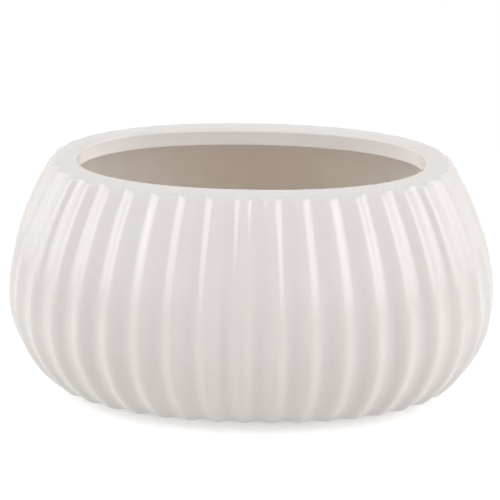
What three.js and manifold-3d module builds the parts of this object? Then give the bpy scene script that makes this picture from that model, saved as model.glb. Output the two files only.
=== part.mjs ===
import * as THREE from 'three';
import { mergeVertices } from 'three/addons/utils/BufferGeometryUtils.js';
import Module from 'manifold-3d';

// An oval cachepot, slip-cast in one piece and glazed: a smooth flat shoulder round an open
// mouth, soft ribs from the shoulder down to the lower edge, a thick hollow wall and a foot ring.
// Millimetres, +Z up. The long side of the oval lies along X and the front faces -Y. The pot
// stands on z = 0 with its centre on the Z axis.

// Driving dimensions, in millimetres, with angles in degrees
const mouthLength = 191;
const mouthWidth = 94.4;
const squareness = 2.18; // the oval's exponent: 2 is a true ellipse, more is squarer
const frontGain = 1.094; // the wall flares this much more at the front than at the ends
const wallHeight = 129; // from the lower edge up to the rim
const bellyFlare = 39.5; // how far the belly stands outside the mouth
const bellyHeight = 51; // above the lower edge
const shoulderWidth = 13.25; // out to where the ribs' crests would meet it
const shoulderRound = 0.6;
const flankAngle = 57; // slope of the wall just under the shoulder
const edgeFlare = 16.1; // how far the lower edge stands outside the mouth
const edgeAngle = 42; // slope of the wall just above the lower edge
const edgeRound = 1.5;
const flankReach = 16; // how far the wall keeps to the flank's slope before it turns down
const bellyReachUp = 31; // how far the wall keeps nearly upright above the belly
const bellyReachDown = 20;
const edgeReach = 15; // how far up the wall keeps to the slope of its lower edge

const ribCount = 40;
const ribDepth = 2.3; // from crest to valley, at the belly
const ribHighShare = 0.76; // the share of that depth at the shoulder
const ribLowShare = 0.62; // and at the lower edge
const kneeReach = 1.4; // ribs slope out from the shoulder's edge to a knee this far down the flank
const kneeRound = 1;
const ribSharpness = 1.3; // 1 is a plain wave, more makes the crests narrower than the valleys

const wallThickness = 7;
const floorThickness = 7.5;
const collarHeight = 9.7; // the upright edge round the mouth
const collarRound = 1.6; // at its lower end
const mouthRound = 1.2; // how far down the mouth's edge is rounded
const mouthRoll = 3; // and how far out over the shoulder
const undercutInset = 2; // the ceiling behind the collar ends this far inside the shoulder
const undercutRound = 4;
const floorInset = 2; // the hollow's floor ends this far inside the lower edge
const floorRound = 8;
const hollowReach = 0.9; // the hollow's curves are this much shorter than the wall's

const footHeight = 3;
const footFlare = 7.5;
const footWidth = 11;
const footTaper = 0.6;
const padDiameter = 9;
const padThickness = 1.5;
const padChamfer = 0.3;
const padTurn = 38; // how far round from the long axis each pad sits
const glueFilm = 0.2;

// How finely the surface is divided
const columnsPerRib = 6;
const plainColumns = 64;
const padSides = 24;
const wallPieces = 5; // of each long curve outside, above and below the belly
const hollowPieces = 4; // of each long curve inside
const roundPieces = 2; // of a small round
const lipPieces = 4; // of the mouth's rounded edge
const heelPieces = 3; // of the wide round at the hollow's floor
const arcPieces = 4000; // of an oval while its length is measured
const sameSpot = 0.001; // points nearer to each other than this are one

// Heights that follow from the sizes
const footBottom = padThickness + glueFilm;
const edgeZ = footBottom + footHeight;
const rimZ = edgeZ + wallHeight;
const bellyZ = edgeZ + bellyHeight;
const floorZ = edgeZ + floorThickness;

const point = (flare, z) => new THREE.Vector2(flare, z);
const radians = THREE.MathUtils.degToRad;
const down = (degrees) => point(Math.cos(radians(degrees)), -Math.sin(radians(degrees)));
const step = (from, direction, length) => from.clone().addScaledVector(direction, length);
const signedPower = (value, power) => Math.sign(value) * Math.abs(value) ** power;

// The oval in plan, as large as the mouth plus the flare. A turn is an angle from +X.
function ovalPoint(flare, turn) {
  return point(
    (mouthLength / 2 + flare) * signedPower(Math.cos(turn), 2 / squareness),
    (mouthWidth / 2 + frontGain * flare) * signedPower(Math.sin(turn), 2 / squareness),
  );
}

class Oval extends THREE.Curve {
  constructor(flare) {
    super();
    this.flare = flare;
    this.arcLengthDivisions = arcPieces;
  }

  turnAt(part) {
    return (2 * part - 0.5) * Math.PI;
  }

  getPoint(part) {
    return ovalPoint(this.flare, this.turnAt(part));
  }
}

// Turns that split the belly's oval into equal lengths, from the middle of the front.
function evenTurns(count) {
  const oval = new Oval(bellyFlare);
  const turns = [];
  for (let i = 0; i < count; i += 1) {
    turns.push(oval.turnAt(oval.getUtoTmapping(i / count)));
  }
  return turns;
}

// A round between the line in to a corner and the line on from it.
function roundAt(before, corner, after, size) {
  const start = step(corner, before.clone().sub(corner).normalize(), size);
  const end = step(corner, after.clone().sub(corner).normalize(), size);
  return new THREE.QuadraticBezierCurve(start, corner, end);
}

// Outlines run from the top of the wall to the bottom, as points of flare and height.
function joinCurves(curves) {
  return curves.flatMap(([curve, pieces], i) => {
    const points = curve.getPoints(pieces);
    const joined = i > 0 && curves[i - 1][0].getPoint(1).distanceTo(points[0]) < sameSpot;
    return joined ? points.slice(1) : points;
  });
}

// The outside of the wall at a depth behind the crests: the shoulder's edge, the knee of a rib,
// the flank down to the belly, and the turn in to the lower edge. All depths share one shoulder
// edge, so the valleys run straight up to it and the ribs begin there.
function outerOutline(depth) {
  const flank = down(flankAngle);
  const tuck = down(-edgeAngle);
  const setBack = (behind, angle) => behind / Math.sin(radians(angle));
  const top = point(shoulderWidth - setBack(ribHighShare * depth, flankAngle), rimZ);
  const shoulder = point(shoulderWidth - setBack(ribHighShare * ribDepth, flankAngle), rimZ);
  const knee = step(top, flank, kneeReach);
  const belly = point(bellyFlare - depth, bellyZ);
  const edge = point(edgeFlare - setBack(ribLowShare * depth, edgeAngle), edgeZ);
  const flankStart = step(knee, flank, kneeRound);
  const edgeStart = step(edge, tuck, edgeRound);
  const edgeEnd = point(edge.x - edgeRound, edgeZ);
  return joinCurves([
    [roundAt(point(0, rimZ), shoulder, knee, shoulderRound), 1],
    [roundAt(shoulder, knee, flankStart, kneeRound), roundPieces],
    [new THREE.CubicBezierCurve(
      flankStart,
      step(flankStart, flank, flankReach),
      point(belly.x, bellyZ + bellyReachUp),
      belly,
    ), wallPieces],
    [new THREE.CubicBezierCurve(
      belly,
      point(belly.x, bellyZ - bellyReachDown),
      step(edgeStart, tuck, edgeReach),
      edgeStart,
    ), wallPieces],
    [new THREE.QuadraticBezierCurve(edgeStart, edge, edgeEnd), 1],
  ]);
}

// Mouth edge, upright collar, the undercut behind the shoulder, and the wall down to the floor.
function cavityOutline() {
  const flank = down(flankAngle);
  const tuck = down(-edgeAngle);
  const collarZ = rimZ - collarHeight;
  const undercut = point(shoulderWidth - undercutInset, collarZ);
  const undercutStart = point(undercut.x - undercutRound, collarZ);
  const undercutEnd = step(undercut, flank, undercutRound);
  const belly = point(bellyFlare - wallThickness, bellyZ);
  const heel = point(edgeFlare - floorInset, floorZ);
  const heelStart = step(heel, tuck, floorRound);
  const heelEnd = point(heel.x - floorRound, floorZ);
  const lip = point(mouthRoll, rimZ);
  const lipEnd = point(0, rimZ - mouthRound);
  const throat = point(0, collarZ + collarRound);
  return [
    point(mouthRoll, rimZ + mouthRound),
    ...joinCurves([
      [new THREE.QuadraticBezierCurve(lip, point(0, rimZ), lipEnd), lipPieces],
      [new THREE.LineCurve(lipEnd, throat), 1],
      [roundAt(throat, point(0, collarZ), undercutStart, collarRound), roundPieces],
      [new THREE.LineCurve(point(collarRound, collarZ), undercutStart), 1],
      [new THREE.QuadraticBezierCurve(undercutStart, undercut, undercutEnd), roundPieces],
      [new THREE.CubicBezierCurve(
        undercutEnd,
        step(undercutEnd, flank, flankReach * hollowReach),
        point(belly.x, bellyZ + bellyReachUp * hollowReach),
        belly,
      ), hollowPieces],
      [new THREE.CubicBezierCurve(
        belly,
        point(belly.x, bellyZ - bellyReachDown * hollowReach),
        step(heelStart, tuck, edgeReach * hollowReach),
        heelStart,
      ), hollowPieces],
      [new THREE.QuadraticBezierCurve(heelStart, heel, heelEnd), heelPieces],
    ]),
  ];
}

const footOutline = [
  point(footFlare, edgeZ + floorThickness / 2),
  point(footFlare, edgeZ),
  point(footFlare - footTaper, footBottom),
];

const recessOutline = [
  point(footFlare - footWidth, edgeZ),
  point(footFlare - footWidth + footTaper, footBottom),
  point(footFlare - footWidth + footTaper, footBottom - footHeight),
];

// How far the surface lies behind the crest of a rib, from the crest of one to the next.
function ribRelief(part) {
  const crest = ((1 + Math.cos(2 * Math.PI * part)) / 2) ** ribSharpness;
  return ribDepth * (1 - crest);
}

function wallPoint({ x, y }, turn) {
  const plan = ovalPoint(x, turn);
  return new THREE.Vector3(plan.x, plan.y, y);
}

// Rings of the wall. Each column follows the outline at its own depth behind the crests.
function ribbedRings() {
  const turns = evenTurns(ribCount * columnsPerRib);
  const outlines = turns.map((_, column) => outerOutline(ribRelief(column / columnsPerRib)));
  return outlines[0].map((_, row) => (
    turns.map((turn, column) => wallPoint(outlines[column][row], turn))
  ));
}

function plainRings(outline) {
  const turns = evenTurns(plainColumns);
  return outline.map((place) => turns.map((turn) => wallPoint(place, turn)));
}

// A closed body through rings that run from top to bottom, with a flat cap at each end.
function loft(rings) {
  const columns = rings[0].length;
  const positions = rings.flat().flatMap((place) => place.toArray());
  const topCentre = positions.length / 3;
  positions.push(0, 0, rings[0][0].z);
  positions.push(0, 0, rings[rings.length - 1][0].z);
  const lastRing = (rings.length - 1) * columns;
  const index = [];
  for (let column = 0; column < columns; column += 1) {
    const next = (column + 1) % columns;
    index.push(topCentre, column, next);
    index.push(topCentre + 1, lastRing + next, lastRing + column);
    for (let ring = 0; ring < lastRing; ring += columns) {
      index.push(ring + column, ring + columns + column, ring + next);
      index.push(ring + next, ring + columns + column, ring + columns + next);
    }
  }
  const geometry = new THREE.BufferGeometry();
  geometry.setAttribute('position', new THREE.Float32BufferAttribute(positions, 3));
  geometry.setIndex(index);
  return geometry;
}

const wasm = await Module();
wasm.setup();

function toSolid(geometry) {
  const merged = mergeVertices(geometry);
  return new wasm.Manifold(new wasm.Mesh({
    numProp: 3,
    vertProperties: new Float32Array(merged.attributes.position.array),
    triVerts: new Uint32Array(merged.index.array),
  }));
}

function toGeometry(solid) {
  const mesh = solid.getMesh();
  const geometry = new THREE.BufferGeometry();
  geometry.setAttribute('position', new THREE.BufferAttribute(mesh.vertProperties, 3));
  geometry.setIndex(new THREE.BufferAttribute(mesh.triVerts, 1));
  geometry.computeVertexNormals();
  return geometry;
}

// The ribbed outside is cast over a plain core, so the hollow follows the wall without ribs.
function potBody() {
  const outside = toSolid(loft(ribbedRings()));
  const foot = toSolid(loft(plainRings(footOutline)));
  const recess = toSolid(loft(plainRings(recessOutline)));
  const cavity = toSolid(loft(plainRings(cavityOutline())));
  const glaze = new THREE.MeshStandardMaterial({ color: 0xe9e5e1, roughness: 0.2, metalness: 0 });
  const body = new THREE.Mesh(toGeometry(outside.add(foot).subtract(recess).subtract(cavity)), glaze);
  body.name = 'pot_body';
  return body;
}

// Round pads stuck under the foot ring, one towards each end of the front and the back.
function footPads() {
  const radius = padDiameter / 2;
  const section = [
    point(0, 0),
    point(radius - padChamfer, 0),
    point(radius, padChamfer),
    point(radius, padThickness),
    point(0, padThickness),
  ];
  const geometry = new THREE.LatheGeometry(section, padSides).rotateX(Math.PI / 2);
  const felt = new THREE.MeshStandardMaterial({ color: 0x8c8781, roughness: 0.95, metalness: 0 });
  const turns = [padTurn, 180 - padTurn, 180 + padTurn, 360 - padTurn].map(radians);
  return turns.map((turn, i) => {
    const pad = new THREE.Mesh(geometry, felt);
    const place = ovalPoint(footFlare - footWidth / 2, turn);
    pad.position.set(place.x, place.y, 0);
    pad.name = `foot_pad_${i + 1}`;
    return pad;
  });
}

const cachepot = new THREE.Group();
cachepot.add(potBody(), ...footPads());

export default cachepot;
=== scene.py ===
import math

import bmesh
import bpy
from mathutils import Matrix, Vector
from mathutils.geometry import interpolate_bezier


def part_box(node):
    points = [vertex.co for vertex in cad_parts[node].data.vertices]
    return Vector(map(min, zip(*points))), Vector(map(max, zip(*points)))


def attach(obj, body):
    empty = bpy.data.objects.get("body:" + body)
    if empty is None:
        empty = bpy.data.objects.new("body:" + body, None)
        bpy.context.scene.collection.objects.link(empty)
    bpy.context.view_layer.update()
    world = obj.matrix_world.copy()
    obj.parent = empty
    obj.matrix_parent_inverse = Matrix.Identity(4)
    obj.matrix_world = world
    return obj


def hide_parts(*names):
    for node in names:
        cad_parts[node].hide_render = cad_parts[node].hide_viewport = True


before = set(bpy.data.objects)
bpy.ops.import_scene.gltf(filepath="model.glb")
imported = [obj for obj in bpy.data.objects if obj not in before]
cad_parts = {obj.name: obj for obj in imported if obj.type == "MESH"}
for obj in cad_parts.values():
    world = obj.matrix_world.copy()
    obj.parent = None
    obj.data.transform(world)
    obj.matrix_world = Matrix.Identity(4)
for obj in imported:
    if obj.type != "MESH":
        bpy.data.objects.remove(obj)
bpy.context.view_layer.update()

print("frame loaded")


# ribbed oval cachepot: slip-cast stoneware, glazed all over but for the foot ring it was fired on

def linearColour(hexText):
    parts = [int(hexText[i:i + 2], 16) / 255 for i in (1, 3, 5)]
    return [c / 12.92 if c <= 0.04045 else ((c + 0.055) / 1.055) ** 2.4 for c in parts] + [1]


def smooth(value, low, high):
    part = min(max((value - low) / (high - low), 0), 1)
    return part * part * (3 - 2 * part)


def endPiece(bm, name):
    mesh = bpy.data.meshes.new(name)
    bm.to_mesh(mesh)
    bm.free()
    mesh.shade_smooth()
    piece = bpy.data.objects.new(name, mesh)
    bpy.context.collection.objects.link(piece)
    return piece


# the pot

potLow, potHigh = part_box("pot_body")

pot = {
    "mouthLength": 0.191,
    "mouthWidth": 0.0944,
    "squareness": 2.18,        # 2 is a true ellipse, more is squarer
    "frontGain": 1.094,        # the wall flares this much more at the front than at the ends
    "bellyFlare": 0.0395,      # outside the mouth
    "bellyHeight": 0.051,      # above the lower edge
    "shoulderWidth": 0.01325,  # out to where the ribs' crests would meet it
    "shoulderRound": 0.0006,
    "flankAngle": 57,
    "edgeFlare": 0.0161,
    "edgeAngle": 42,
    "edgeRound": 0.0016,
    "flankReach": 0.016,       # how long the wall holds its slope below the knee
    "bellyReachUp": 0.031,     # how long it stays nearly upright above the belly
    "bellyReachDown": 0.020,   # and below it
    "edgeReach": 0.015,        # how long it holds its slope above the lower edge
    "ribCount": 40,
    "ribDepth": 0.0023,        # at the belly
    "ribHighShare": 0.76,      # the share of that depth at the shoulder
    "ribLowShare": 0.62,       # and at the lower edge
    "kneeReach": 0.0014,       # each rib slopes out from the shoulder's edge, then turns down the flank
    "kneeRound": 0.001,
    "ribSharpness": 1.3,       # 1 is a plain wave, more makes the crests narrower than the valleys
    "innerEcho": 0.0006,       # the hollow follows the ribs faintly
    "echoFade": 0.02,          # over this length the ribs die out to the floor and to the collar
    "wallThickness": 0.007,
    "floorThickness": 0.0075,
    "collarHeight": 0.0097,
    "collarRound": 0.0016,     # at its lower end
    "mouthRound": 0.0012,      # how far down the mouth's edge is rounded
    "mouthRoll": 0.003,        # and how far out over the shoulder
    "undercutInset": 0.002,    # the ceiling behind the collar ends this far inside the shoulder
    "undercutRound": 0.004,
    "floorInset": 0.002,       # the hollow's floor ends this far inside the lower edge
    "floorRound": 0.008,
    "hollowReach": 0.9,        # the hollow holds its slopes for this share of the wall's lengths
    "footHeight": 0.003,
    "footFlare": 0.0075,
    "footWidth": 0.011,
    "footRound": 0.0007,
    "bareShare": [0.5, 0.9],   # of the foot's height, where the glaze thins out and where it ends
    "collarLightFade": 0.012,       # over this height below the collar its painted light gives way to the inside's painted tone
    "columnsPerRib": 16,
    "upperRings": 30,          # of the wall, above the belly
    "lowerRings": 23,          # and below it
    "hollowRings": 14,         # of each long curve inside
    "flatRings": 4,            # across the shoulder, the floor and the recess
    "roundRings": 5,           # of a small round
    "kneeRings": 6,            # of a rib's knee and of the heel inside
    "lipRings": 10,            # of the mouth's rolled edge
    "footRings": 3,            # of each corner of the foot
    "arcSteps": 8000,          # round the belly's oval, to measure its length
    "sameSpot": 1e-6,          # points nearer than this are merged
}

edgeZ = potLow.z + pot["footHeight"]
rimZ = potHigh.z
bellyZ = edgeZ + pot["bellyHeight"]
floorZ = edgeZ + pot["floorThickness"]
collarZ = rimZ - pot["collarHeight"]
mouthHalf = pot["mouthLength"] / 2
centreFlare = pot["footFlare"] - pot["footWidth"]   # inside this oval the floor just shrinks to a point


def ovalPoint(flare, turn):
    shrink = 1
    if flare < centreFlare:
        shrink = (mouthHalf + flare) / (mouthHalf + centreFlare)
        flare = centreFlare
    halfLength = shrink * (mouthHalf + flare)
    halfWidth = shrink * (pot["mouthWidth"] / 2 + pot["frontGain"] * flare)
    power = 2 / pot["squareness"]
    across, out = math.cos(turn), math.sin(turn)
    return (halfLength * math.copysign(abs(across) ** power, across),
            halfWidth * math.copysign(abs(out) ** power, out))


def evenTurns(count):                # turns that split the belly's oval into equal lengths
    steps = pot["arcSteps"]
    turns = [(2 * i / steps - 0.5) * math.pi for i in range(steps + 1)]
    places = [Vector(ovalPoint(pot["bellyFlare"], turn)) for turn in turns]
    lengths = [0]
    for a, b in zip(places, places[1:]):
        lengths.append(lengths[-1] + (b - a).length)
    even, i = [], 0
    for k in range(count):
        aim = lengths[-1] * k / count
        while lengths[i + 1] < aim:
            i += 1
        part = (aim - lengths[i]) / (lengths[i + 1] - lengths[i])
        even.append(turns[i] + part * (turns[i + 1] - turns[i]))
    return even


def slope(degrees):
    return Vector((math.cos(math.radians(degrees)), 0, math.sin(math.radians(degrees))))


def place(flare, z):
    return Vector((mouthHalf + flare, 0, z))


def bend(start, corner, end, pieces):    # a round between two straight runs
    pull = 2 / 3                         # gives a plain parabola
    return interpolate_bezier(start, start.lerp(corner, pull), end.lerp(corner, pull), end, pieces + 1)


def roundCorner(before, corner, after, size, pieces):
    start = corner + (before - corner).normalized() * size
    end = corner + (after - corner).normalized() * size
    return bend(start, corner, end, pieces)


def setBack(behind, degrees):        # how far in a line of this slope lies, that far behind another
    return Vector((behind / math.sin(math.radians(degrees)), 0, 0))


def outerOutline(depth):             # over the shoulder and down the wall, at a depth behind the crests
    flank, tuck = slope(-pot["flankAngle"]), slope(pot["edgeAngle"])
    width = place(pot["shoulderWidth"], rimZ)
    shoulder = width - setBack(pot["ribHighShare"] * pot["ribDepth"], pot["flankAngle"])
    knee = width - setBack(pot["ribHighShare"] * depth, pot["flankAngle"]) + flank * pot["kneeReach"]
    belly = place(pot["bellyFlare"] - depth, bellyZ)
    edge = place(pot["edgeFlare"], edgeZ) - setBack(pot["ribLowShare"] * depth, pot["edgeAngle"])
    mouthTop = place(pot["mouthRoll"], rimZ)
    edgeStart = edge + tuck * pot["edgeRound"]
    underStart = edge - Vector((pot["edgeRound"], 0, 0))
    corner = roundCorner(mouthTop, shoulder, knee, pot["shoulderRound"], pot["roundRings"])
    turnDown = roundCorner(shoulder, knee, knee + flank, pot["kneeRound"], pot["kneeRings"])
    band = [mouthTop.lerp(corner[0], i / pot["flatRings"]) for i in range(pot["flatRings"])]
    facet = [corner[-1].lerp(turnDown[0], part) for part in (1 / 3, 2 / 3)]
    upper = interpolate_bezier(turnDown[-1], turnDown[-1] + flank * pot["flankReach"],
                               belly + Vector((0, 0, pot["bellyReachUp"])), belly, pot["upperRings"])
    lower = interpolate_bezier(belly, belly - Vector((0, 0, pot["bellyReachDown"])),
                               edgeStart + tuck * pot["edgeReach"], edgeStart, pot["lowerRings"])
    turnUnder = bend(edgeStart, edge, underStart, pot["roundRings"] - 1)
    return band + corner + facet + turnDown[:-1] + upper[:-1] + lower[:-1] + turnUnder


def footOutline():                   # underside, foot ring and the recess inside it
    outer, inner = pot["footFlare"], centreFlare
    size = pot["footRound"]
    outerTop, outerLow = place(outer, edgeZ), place(outer - size, potLow.z)
    innerTop, innerLow = place(inner, edgeZ), place(inner + size, potLow.z)
    centre = Vector((0, 0, edgeZ))
    corners = [place(pot["edgeFlare"], edgeZ), outerTop, outerLow, innerLow, innerTop, centre]
    points = []
    for before, corner, after in zip(corners, corners[1:], corners[2:]):
        points += roundCorner(before, corner, after, size, pot["footRings"])
    last = points[-1]
    return points + [last.lerp(centre, (i + 1) / pot["flatRings"]) for i in range(pot["flatRings"])]


def innerOutline():                  # from the middle of the floor up the hollow to the mouth's edge
    flank, tuck = slope(-pot["flankAngle"]), slope(pot["edgeAngle"])
    belly = place(pot["bellyFlare"] - pot["wallThickness"], bellyZ)
    heel = place(pot["edgeFlare"] - pot["floorInset"], floorZ)
    heelStart = heel + tuck * pot["floorRound"]
    heelEnd = heel - Vector((pot["floorRound"], 0, 0))
    undercut = place(pot["shoulderWidth"] - pot["undercutInset"], collarZ)
    undercutEnd = undercut + flank * pot["undercutRound"]
    undercutStart = undercut - Vector((pot["undercutRound"], 0, 0))
    collarLow, collarTop = place(0, collarZ), place(0, rimZ)
    centre, reach = Vector((0, 0, floorZ)), pot["hollowReach"]
    points = [centre.lerp(heelEnd, i / pot["flatRings"]) for i in range(pot["flatRings"])]
    points += bend(heelEnd, heel, heelStart, pot["kneeRings"])[:-1]
    points += interpolate_bezier(heelStart, heelStart + tuck * pot["edgeReach"] * reach,
                                 belly - Vector((0, 0, pot["bellyReachDown"] * reach)), belly,
                                 pot["hollowRings"])[:-1]
    points += interpolate_bezier(belly, belly + Vector((0, 0, pot["bellyReachUp"] * reach)),
                                 undercutEnd + flank * pot["flankReach"] * reach, undercutEnd,
                                 pot["hollowRings"])[:-1]
    points += bend(undercutEnd, undercut, undercutStart, pot["roundRings"])
    points += roundCorner(undercut, collarLow, collarTop, pot["collarRound"], pot["roundRings"])
    points += bend(place(0, rimZ - pot["mouthRound"]), collarTop, place(pot["mouthRoll"], rimZ),
                   pot["lipRings"])[:-1]
    return points


def spinWall(points):                # one rib's share of the wall, then its copies round the axis
    bm = bmesh.new()
    row = bm.verts.layers.int.new("row")
    verts = []
    for i, point in enumerate(points):
        vert = bm.verts.new(point)
        vert[row] = i
        verts.append(vert)
    edges = [bm.edges.new(pair) for pair in zip(verts, verts[1:])]
    turn = math.tau / pot["ribCount"]
    bmesh.ops.spin(bm, geom=verts + edges, cent=(0, 0, 0), axis=(0, 0, 1), angle=turn,
                   steps=pot["columnsPerRib"], use_merge=False)
    oneRib = bm.verts[:] + bm.edges[:] + bm.faces[:]
    bmesh.ops.spin(bm, geom=oneRib, cent=(0, 0, 0), axis=(0, 0, 1), angle=math.tau - turn,
                   steps=pot["ribCount"] - 1, use_duplicate=True)
    bmesh.ops.remove_doubles(bm, verts=bm.verts, dist=pot["sameSpot"])
    bmesh.ops.recalc_face_normals(bm, faces=bm.faces)
    return bm, row


def valleyShare(part):               # 0 on a rib's crest, 1 in the middle of a valley
    return 1 - ((1 + math.cos(math.tau * part)) / 2) ** pot["ribSharpness"]


def makePot():                       # each vertex keeps where it lies: outside, inside, crest, bare foot
    perRib = pot["columnsPerRib"]
    steps = pot["ribCount"] * perRib
    valleys = [valleyShare(i / perRib) for i in range(perRib)]
    outers = [outerOutline(pot["ribDepth"] * valley) for valley in valleys]
    inner, foot = innerOutline(), footOutline()
    bm, row = spinWall(inner + outers[0] + foot)
    zone = bm.verts.layers.float.new("zone")
    pool = bm.verts.layers.float.new("glazePool")
    bare = bm.verts.layers.float.new("bareFoot")
    turns = evenTurns(steps)
    columns = {}
    for vert in bm.verts:
        x, y, z = vert.co
        column = round((math.atan2(y, x) + math.pi / 2) / math.tau * steps) % steps
        flare, i = math.hypot(x, y) - mouthHalf, vert[row] - len(inner)
        if 0 <= i < len(outers[0]):
            point = outers[column % perRib][i]
            flare, z = point.x - mouthHalf, point.z
            vert[zone] = 1
            vert[pool] = 1 - (1 - valleys[column % perRib]) * smooth(rimZ - z, 0, pot["kneeReach"])
        elif i < 0:
            # the collar below the mouth's edge is painted lighter than the outside: painted light
            collar = smooth(rimZ - z, 0, 2 * pot["mouthRound"])
            # deeper in, the inside is painted darker in the middle and lighter at the ends: painted shade
            # and light
            insideShadeAndLight = smooth(collarZ - z, 0, pot["collarLightFade"])
            vert[zone] = 1 - collar - insideShadeAndLight
        else:
            vert[bare] = smooth((edgeZ - z) / pot["footHeight"], *pot["bareShare"])
        columns[vert] = column
        vert.co = (*ovalPoint(flare, turns[column]), z)
    bm.normal_update()
    for vert in bm.verts:
        if vert[row] < len(inner):
            fade = smooth(vert.co.z - floorZ, 0, pot["echoFade"])
            fade *= smooth(collarZ - vert.co.z, 0, pot["echoFade"])
            vert.co += vert.normal * pot["innerEcho"] * valleys[columns[vert] % perRib] * fade
    return endPiece(bm, "glazed_pot")


glazedPot = makePot()
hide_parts("pot_body")
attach(glazedPot, "root")
print("pot made:", len(glazedPot.data.polygons), "faces")


# materials

def newMaterial(name):
    material = bpy.data.materials.new(name)
    material.use_nodes = True
    tree = material.node_tree
    tree.nodes.clear()
    return material, tree


def addNode(tree, kind, settings=None, **links):
    node = tree.nodes.new(kind)
    for name, value in (settings or {}).items():
        if isinstance(name, int) or name in node.inputs:
            node.inputs[name].default_value = value
        else:
            setattr(node, name, value)
    for name, source in links.items():
        target = int(name[1:]) if name[0] == "i" and name[1:].isdigit() else name.replace("_", " ")
        tree.links.new(source, node.inputs[target])
    return node


glaze = {
    "outer": ["#E9E4E1", "#E2DCD9"],     # two tones that drift over the wall
    "cloudSize": 0.055,
    "collar": ["#FFFBF8", "#FFF9F5"],    # painted light: drawn whiter than the same glaze outside, for the light that falls on the collar
    "inner": ["#FDF2E7", "#FFFAF4"],     # painted shade: darker and warmer in the middle; painted light: lighter at the ends
    "innerShadeToLight": 0.1,                    # from the painted shade in the middle to the painted light at the ends
    "thin": "#E2D9CC",                   # over the ribs' crests the clay shows through
    "thinShare": 0.08,
    "thinReach": 0.5,                    # from a crest, the share of the way down to a valley
    "roughness": 0.07,
    "ior": 1.5,
    "waveSize": 0.0045,                  # the soft unevenness of a dipped glaze
    "waveHeight": 0.00004,
    "clay": ["#E8DECF", "#DCCFBC"],      # the bare ring on the foot
    "clayRoughness": 0.9,
    "clayGrain": 0.0006,                 # coarser than real grit, so that it shows
    "grainHeight": 0.0001,
    "grainStrength": 0.5,
    "raggedness": 0.5,                   # of the line where the glaze was wiped off the foot
    "wipedFrom": 0.7,
    "wipedAll": 0.8,
}


def glossyGlaze():                   # opaque white glaze: bright, smooth and wet, over a matt clay body
    material, tree = newMaterial("dipped_white_glaze")
    coords = addNode(tree, "ShaderNodeTexCoord").outputs["Object"]
    zone = addNode(tree, "ShaderNodeAttribute", {"attribute_name": "zone"})
    pool = addNode(tree, "ShaderNodeAttribute", {"attribute_name": "glazePool"})
    bare = addNode(tree, "ShaderNodeAttribute", {"attribute_name": "bareFoot"})
    clouds = addNode(tree, "ShaderNodeTexNoise", {"Scale": 1 / glaze["cloudSize"], "Detail": 3},
                     Vector=coords)
    grain = addNode(tree, "ShaderNodeTexNoise", {"Scale": 1 / glaze["clayGrain"], "Detail": 4},
                    Vector=coords)
    parts = addNode(tree, "ShaderNodeSeparateXYZ", None, Vector=coords)
    # painted shade and light inside: darker and warmer in the middle, lighter towards the ends
    out = addNode(tree, "ShaderNodeMath", {"operation": "ABSOLUTE"}, i0=parts.outputs["X"])
    endLightShare = addNode(tree, "ShaderNodeMapRange", {"interpolation_type": "SMOOTHSTEP",
                                                 "From Max": glaze["innerShadeToLight"]}, Value=out.outputs[0])
    drifts = {"outer": clouds.outputs["Fac"], "collar": clouds.outputs["Fac"],
              "inner": endLightShare.outputs[0], "clay": grain.outputs["Fac"]}
    tones = {}
    for part, drift in drifts.items():       # from one tone of the part to its other
        first, second = map(linearColour, glaze[part])
        mix = addNode(tree, "ShaderNodeMix", {"data_type": "RGBA", 6: first, 7: second}, i0=drift)
        tones[part] = mix.outputs[2]
    thin = addNode(tree, "ShaderNodeMapRange", {"From Max": glaze["thinReach"], "To Max": 0,
                                                "To Min": glaze["thinShare"]}, Value=pool.outputs["Fac"])
    wall = addNode(tree, "ShaderNodeMix", {"data_type": "RGBA", 7: linearColour(glaze["thin"])},
                   i0=thin.outputs[0], i6=tones["outer"])
    # painted light: the collar's tone is whiter than the outside glaze
    collarLightShare = addNode(tree, "ShaderNodeMapRange", {"From Min": 1, "From Max": 0}, Value=zone.outputs["Fac"])
    insideShadeAndLight = addNode(tree, "ShaderNodeMapRange", {"From Min": 0, "From Max": -1}, Value=zone.outputs["Fac"])
    edge = addNode(tree, "ShaderNodeMix", {"data_type": "RGBA"}, i0=collarLightShare.outputs[0],
                   i6=wall.outputs[2], i7=tones["collar"])
    tone = addNode(tree, "ShaderNodeMix", {"data_type": "RGBA"}, i0=insideShadeAndLight.outputs[0],
                   i6=edge.outputs[2], i7=tones["inner"])
    waves = addNode(tree, "ShaderNodeTexNoise", {"Scale": 1 / glaze["waveSize"], "Detail": 1},
                    Vector=coords)
    bump = addNode(tree, "ShaderNodeBump", {"Strength": 1, "Distance": glaze["waveHeight"]},
                   Height=waves.outputs["Fac"])
    coat = addNode(tree, "ShaderNodeBsdfPrincipled", {"Roughness": glaze["roughness"], "IOR": glaze["ior"]},
                   Base_Color=tone.outputs[2], Normal=bump.outputs["Normal"])
    gritty = addNode(tree, "ShaderNodeBump", {"Strength": glaze["grainStrength"],
                                              "Distance": glaze["grainHeight"]},
                     Height=grain.outputs["Fac"])
    clay = addNode(tree, "ShaderNodeBsdfPrincipled", {"Roughness": glaze["clayRoughness"]},
                   Base_Color=tones["clay"], Normal=gritty.outputs["Normal"])
    ragged = addNode(tree, "ShaderNodeMath", {"operation": "MULTIPLY_ADD", 1: glaze["raggedness"]},
                     i0=clouds.outputs["Fac"], i2=bare.outputs["Fac"])
    wiped = addNode(tree, "ShaderNodeMapRange", {"From Min": glaze["wipedFrom"],
                                                 "From Max": glaze["wipedAll"]}, Value=ragged.outputs[0])
    both = addNode(tree, "ShaderNodeMixShader", None, i0=wiped.outputs[0], i1=coat.outputs[0],
                   i2=clay.outputs[0])
    addNode(tree, "ShaderNodeOutputMaterial", Surface=both.outputs[0])
    return material


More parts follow.
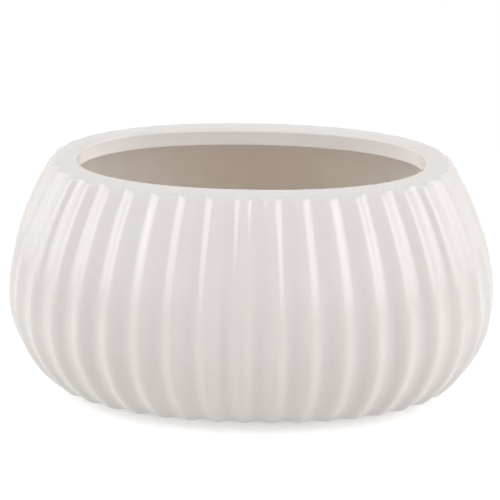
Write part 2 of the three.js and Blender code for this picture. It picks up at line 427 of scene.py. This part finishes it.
glazedPot.data.materials.append(glossyGlaze())
print("pot glazed")


# the pads under the foot

pads = {
    "felt": ["#7D7872", "#9A948C"],
    "fibreSize": 0.0004,                 # coarser than real fibres, so that it shows
    "roughness": 0.95,
}


def padFelt():                       # pressed wool felt: matt, with short loose fibres
    material, tree = newMaterial("pressed_felt")
    coords = addNode(tree, "ShaderNodeTexCoord").outputs["Object"]
    fibres = addNode(tree, "ShaderNodeTexNoise", {"Scale": 1 / pads["fibreSize"], "Detail": 4},
                     Vector=coords)
    first, second = map(linearColour, pads["felt"])
    tone = addNode(tree, "ShaderNodeMix", {"data_type": "RGBA", 6: first, 7: second},
                   i0=fibres.outputs["Fac"])
    shader = addNode(tree, "ShaderNodeBsdfPrincipled", {"Roughness": pads["roughness"]},
                     Base_Color=tone.outputs[2])
    addNode(tree, "ShaderNodeOutputMaterial", Surface=shader.outputs[0])
    return material


felt = padFelt()
padNodes = [node for name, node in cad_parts.items() if name.startswith("foot_pad")]
for node in padNodes:
    node.data.materials.clear()
    node.data.materials.append(felt)
print("felt on", len(padNodes), "pads")


# the card that the pot stands on

card = {
    "size": 6,
    "tones": ["#E3E2E0", "#E7E6E5"],
    "cloudSize": 0.025,              # over which they drift
    "roughness": 0.9,
    "glow": 0.5,                     # lifts it towards white where the camera or the glaze sees it
    "whiteFrom": 0.2,                # this far from the pot's middle it starts to turn pure white
    "whiteAll": 0.5,
}


def paleFloor():                     # white card: pure white to the camera away from the shadow
    material, tree = newMaterial("white_card")
    coords = addNode(tree, "ShaderNodeTexCoord").outputs["Object"]
    ray = addNode(tree, "ShaderNodeLightPath")
    clouds = addNode(tree, "ShaderNodeTexNoise", {"Scale": 1 / card["cloudSize"]}, Vector=coords)
    first, second = map(linearColour, card["tones"])
    tone = addNode(tree, "ShaderNodeMix", {"data_type": "RGBA", 6: first, 7: second},
                   i0=clouds.outputs["Fac"])
    matt = addNode(tree, "ShaderNodeBsdfPrincipled", {"Roughness": card["roughness"]},
                   Base_Color=tone.outputs[2])
    white = addNode(tree, "ShaderNodeEmission", {"Strength": 1})
    far = addNode(tree, "ShaderNodeVectorMath", {"operation": "LENGTH"}, Vector=coords)
    fade = addNode(tree, "ShaderNodeMapRange", {"interpolation_type": "SMOOTHSTEP",
                                                "From Min": card["whiteFrom"],
                                                "From Max": card["whiteAll"]},
                   Value=far.outputs["Value"])
    seen = addNode(tree, "ShaderNodeMath", {"operation": "MAXIMUM"}, i0=ray.outputs["Is Camera Ray"],
                   i1=ray.outputs["Is Glossy Ray"])
    share = addNode(tree, "ShaderNodeMath", {"operation": "MULTIPLY"}, i0=seen.outputs[0],
                    i1=fade.outputs[0])
    lift = addNode(tree, "ShaderNodeMath", {"operation": "MULTIPLY", 1: card["glow"]},
                   i0=seen.outputs[0])
    glow = addNode(tree, "ShaderNodeEmission", None, Strength=lift.outputs[0])
    near = addNode(tree, "ShaderNodeAddShader", None, i0=matt.outputs[0], i1=glow.outputs[0])
    mixed = addNode(tree, "ShaderNodeMixShader", None, i0=share.outputs[0], i1=near.outputs[0],
                    i2=white.outputs[0])
    addNode(tree, "ShaderNodeOutputMaterial", Surface=mixed.outputs[0])
    return material


def makeFloor():
    bm = bmesh.new()
    bmesh.ops.create_grid(bm, x_segments=1, y_segments=1, size=card["size"] / 2)
    floor = endPiece(bm, "floor")
    floor.data.materials.append(paleFloor())


# the room, with soft windows all round

room = {
    "light": 0.24,                   # that its plain walls give
    # in degrees: where a window's middle is, half its bright part, how far it fades; then its light
    "windows": {
        "left": {"turn": -72, "lift": 36, "wide": 16, "tall": 10,
                 "aside": 4, "up": 16, "down": 42, "light": 3.25},
        "leftWing": {"turn": -100, "lift": 20, "wide": 12, "tall": 14,
                     "aside": 14, "up": 16, "down": 20, "light": 1.18},
        "right": {"turn": 69, "lift": 36, "wide": 16, "tall": 10,
                  "aside": 4, "up": 16, "down": 42, "light": 3.35},
        "rightWing": {"turn": 97, "lift": 20, "wide": 12, "tall": 14,
                      "aside": 14, "up": 16, "down": 20, "light": 1.18},
        "back": {"turn": 180, "lift": 20, "wide": 40, "tall": 20,
                 "aside": 20, "up": 20, "down": 14, "light": 0.17},
        "front": {"turn": 0, "lift": 30, "wide": 25, "tall": 14,
                  "aside": 20, "up": 24, "down": 20, "light": 0.34},
        "top": {"turn": 0, "lift": 90, "wide": 180, "tall": 25,
                "aside": 5, "up": 5, "down": 20, "light": 0.18},
    },
}


def softWindow(tree, turn, lift, window):    # bright in the middle, fading out to its edges
    off = addNode(tree, "ShaderNodeMath", {"operation": "SUBTRACT", 1: math.radians(window["turn"])},
                  i0=turn)
    wrapped = addNode(tree, "ShaderNodeMath", {"operation": "WRAP", 1: math.pi, 2: -math.pi},
                      i0=off.outputs[0])
    aside = addNode(tree, "ShaderNodeMath", {"operation": "ABSOLUTE"}, i0=wrapped.outputs[0])
    low, high = window["lift"] - window["tall"], window["lift"] + window["tall"]
    edges = [                                # what is measured, where it is dark, where fully bright
        (aside.outputs[0], window["wide"] + window["aside"], window["wide"]),
        (lift, low - window["down"], low),
        (lift, high + window["up"], high),
    ]
    shares = []
    for value, dark, full in edges:
        fade = addNode(tree, "ShaderNodeMapRange", {"interpolation_type": "SMOOTHSTEP",
                                                    "From Min": math.radians(dark),
                                                    "From Max": math.radians(full)}, Value=value)
        shares.append(fade.outputs[0])
    upright = addNode(tree, "ShaderNodeMath", {"operation": "MULTIPLY"}, i0=shares[1], i1=shares[2])
    pane = addNode(tree, "ShaderNodeMath", {"operation": "MULTIPLY"}, i0=shares[0], i1=upright.outputs[0])
    lit = addNode(tree, "ShaderNodeMath", {"operation": "MULTIPLY", 1: window["light"]}, i0=pane.outputs[0])
    return lit.outputs[0]


def makeWorld():                     # the room looks white, but lights the pot less
    world = bpy.data.worlds.new("soft_room")
    world.use_nodes = True
    tree = world.node_tree
    tree.nodes.clear()
    way = addNode(tree, "ShaderNodeTexCoord").outputs["Generated"]
    parts = addNode(tree, "ShaderNodeSeparateXYZ", None, Vector=way)
    lift = addNode(tree, "ShaderNodeMath", {"operation": "ARCSINE"}, i0=parts.outputs["Z"])
    front = addNode(tree, "ShaderNodeMath", {"operation": "MULTIPLY", 1: -1}, i0=parts.outputs["Y"])
    turn = addNode(tree, "ShaderNodeMath", {"operation": "ARCTAN2"}, i0=parts.outputs["X"],
                   i1=front.outputs[0])
    ray = addNode(tree, "ShaderNodeLightPath")
    seen = addNode(tree, "ShaderNodeMath", {"operation": "MAXIMUM"}, i0=ray.outputs["Is Camera Ray"],
                   i1=ray.outputs["Is Glossy Ray"])
    walls = addNode(tree, "ShaderNodeMapRange", {"To Min": room["light"], "To Max": 1},
                    Value=seen.outputs[0])
    whole = walls.outputs[0]
    for window in room["windows"].values():
        part = softWindow(tree, turn.outputs[0], lift.outputs[0], window)
        whole = addNode(tree, "ShaderNodeMath", {"operation": "ADD"}, i0=whole, i1=part).outputs[0]
    light = addNode(tree, "ShaderNodeBackground", {"Color": (1, 1, 1, 1)}, Strength=whole)
    addNode(tree, "ShaderNodeOutputWorld", Surface=light.outputs[0])
    bpy.context.scene.world = world


# the camera

view = {
    "distance": 1.24,
    "lift": 22,
    "turn": 3.41,
    "aimX": -0.0004,
    "aimZ": 0.075,                   # above the lower edge
    "focalPixels": 2235,
    "framePixels": 500,
    "sensorWidth": 36,
}


def around(turn, lift, distance, aim):
    turn, lift = math.radians(turn), math.radians(lift)
    away = Vector((math.sin(turn) * math.cos(lift), -math.cos(turn) * math.cos(lift), math.sin(lift)))
    return Vector(aim) + away * distance


def pointAt(thing, aim):
    thing.rotation_euler = (Vector(aim) - thing.location).to_track_quat("-Z", "Y").to_euler()


def makeCamera():
    aim = (view["aimX"], 0, edgeZ + view["aimZ"])
    lens = bpy.data.cameras.new("camera")
    lens.sensor_width = view["sensorWidth"]
    lens.lens = lens.sensor_width * view["focalPixels"] / view["framePixels"]
    camera = bpy.data.objects.new("camera", lens)
    bpy.context.collection.objects.link(camera)
    camera.location = around(view["turn"], view["lift"], view["distance"], aim)
    pointAt(camera, aim)
    bpy.context.scene.camera = camera


makeFloor()
makeWorld()
makeCamera()
bpy.context.scene.view_settings.view_transform = "Standard"
print("stage set")
